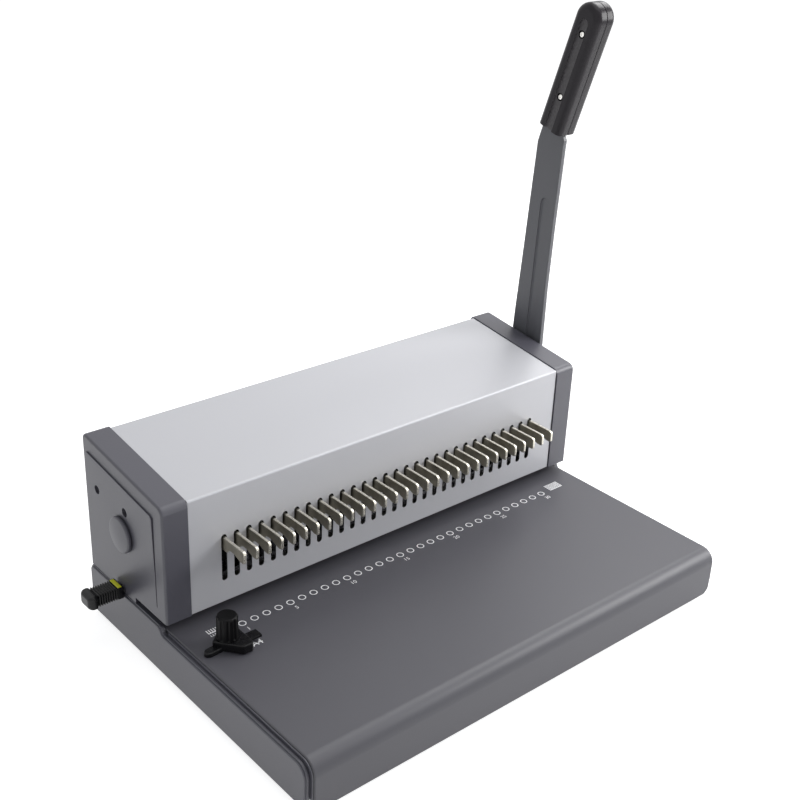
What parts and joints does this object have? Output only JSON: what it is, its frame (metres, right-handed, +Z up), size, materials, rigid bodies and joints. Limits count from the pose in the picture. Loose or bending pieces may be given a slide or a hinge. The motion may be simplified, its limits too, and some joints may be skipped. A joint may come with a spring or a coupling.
{
  "type": "multi-hole punch",
  "caption": "Desk punch with a pull lever, a row of punches over a flat paper bed, comb opener hooks in its front panel, an edge guide and a margin knob.",
  "frame": {"origin": "on the desk, below the middle of the whole machine", "axes": "+X to the right along the row of holes, +Y to the back, +Z up; the user stands at -Y"},
  "size_m": [0.4176, 0.25, 0.3958],
  "materials": {
    "platen_paint": "fine satin powder coat",
    "pan_paint": "fine satin powder coat",
    "silver_paint": "pale silver satin paint",
    "lever_paint": "satin powder coat",
    "grey_plastic": "fine moulded texture",
    "black_plastic": "satin moulded",
    "grip_plastic": "semi-gloss moulded",
    "yellow_plastic": "semi-gloss moulded",
    "tray_plastic": "moulded",
    "foot_rubber": "matte",
    "hook_nickel": "satin nickel plate",
    "black_steel": "black oxide",
    "frame_steel": "zinc plated",
    "shaft_steel": "ground",
    "spring_steel": "drawn wire",
    "screw_steel": "bright zinc",
    "tool_steel": "hardened and ground",
    "bush_brass": "turned"
  },
  "bodies": {
    "base": {"platen_cover": "platen_paint", "base_pan": "pan_paint", "rear_panel": "pan_paint", "foot_front_left": "foot_rubber", "foot_front_right": "foot_rubber", "foot_rear_left": "foot_rubber", "foot_rear_right": "foot_rubber", "side_trim_left": "grey_plastic", "side_trim_right": "grey_plastic", "cheek_left": "grey_plastic", "cheek_right": "grey_plastic", "shaft_end_cap": "grey_plastic", "cheek_screw_front_left": "screw_steel", "cheek_screw_front_right": "screw_steel", "cheek_screw_rear_left": "screw_steel", "cheek_screw_rear_right": "screw_steel", "top_cover": "silver_paint", "frame_plate_left": "frame_steel", "frame_plate_right": "frame_steel", "lower_tie_bar": "frame_steel", "upper_tie_bar": "frame_steel", "shaft_bush_left": "bush_brass", "shaft_bush_right": "bush_brass", "die_block": "tool_steel", "punch_guide": "tool_steel", "throat_spacer_left": "frame_steel", "throat_spacer_right": "frame_steel", "hook_post_left": "frame_steel", "hook_post_right": "frame_steel", "punch_spring_left": "spring_steel", "punch_spring_right": "spring_steel", "hook_spring_left": "spring_steel", "hook_spring_right": "spring_steel"},
    "lever": {"main_shaft": "shaft_steel", "punch_cam_left": "tool_steel", "punch_cam_right": "tool_steel", "hook_cam_left": "tool_steel", "hook_cam_right": "tool_steel", "lever_arm": "lever_paint", "lever_nut": "screw_steel", "lever_cap": "black_plastic", "grip_inner": "grip_plastic", "grip_outer": "grip_plastic", "grip_screw_lower": "screw_steel", "grip_screw_upper": "screw_steel"},
    "punches": {"punch_bar": "frame_steel", "punch_pins": "tool_steel"},
    "hooks": {"hook_carrier": "black_steel", "opener_hooks": "hook_nickel"},
    "margin_pull": {"margin_rod": "frame_steel", "margin_marker": "yellow_plastic", "margin_knob": "black_plastic"},
    "stop": {"depth_stop": "frame_steel"},
    "guide": {"edge_guide": "black_plastic"},
    "clamp": {"clamp_knob": "black_plastic", "clamp_stud": "screw_steel"},
    "tray": {"chip_tray": "tray_plastic"}
  },
  "joints": [
    {"name": "lever_turn", "type": "hinge", "parent": "base", "child": "lever", "pos_m": [0, 0.0765, 0.0875], "axis": [1, 0, 0], "range_deg": [0, 80], "stiffness_Nm_per_rad": 0.6, "springref_deg": -74.48},
    {"name": "punch_slide", "type": "slide", "parent": "base", "child": "punches", "axis": [0, 0, -1], "range_m": [0, 0.01], "deforming": ["punch_spring_left", "punch_spring_right"]},
    {"name": "hook_slide", "type": "slide", "parent": "base", "child": "hooks", "axis": [0, 0, -1], "range_m": [0, 0.022], "deforming": ["hook_spring_left", "hook_spring_right"]},
    {"name": "margin_slide", "type": "slide", "parent": "base", "child": "margin_pull", "axis": [-1, 0, 0], "range_m": [0, 0.005]},
    {"name": "stop_slide", "type": "slide", "parent": "base", "child": "stop", "axis": [0, 1, 0], "range_m": [0, 0.003]},
    {"name": "guide_slide", "type": "slide", "parent": "base", "child": "guide", "axis": [1, 0, 0], "range_m": [-0.005, 0.005]},
    {"name": "clamp_turn", "type": "hinge", "parent": "guide", "child": "clamp", "pos_m": [-0.158, -0.0055, 0.0375], "axis": [0, 0, 1], "range_deg": [0, 180]},
    {"name": "tray_slide", "type": "slide", "parent": "base", "child": "tray", "axis": [0, 1, 0], "range_m": [0, 0.06]}
  ],
  "couplings": [
    {"joint": "punch_slide", "follows": "lever_turn", "m_per_rad": 0.00716},
    {"joint": "hook_slide", "follows": "lever_turn", "m_per_rad": 0.01575},
    {"joint": "stop_slide", "follows": "margin_slide", "ratio": 0.6}
  ]
}
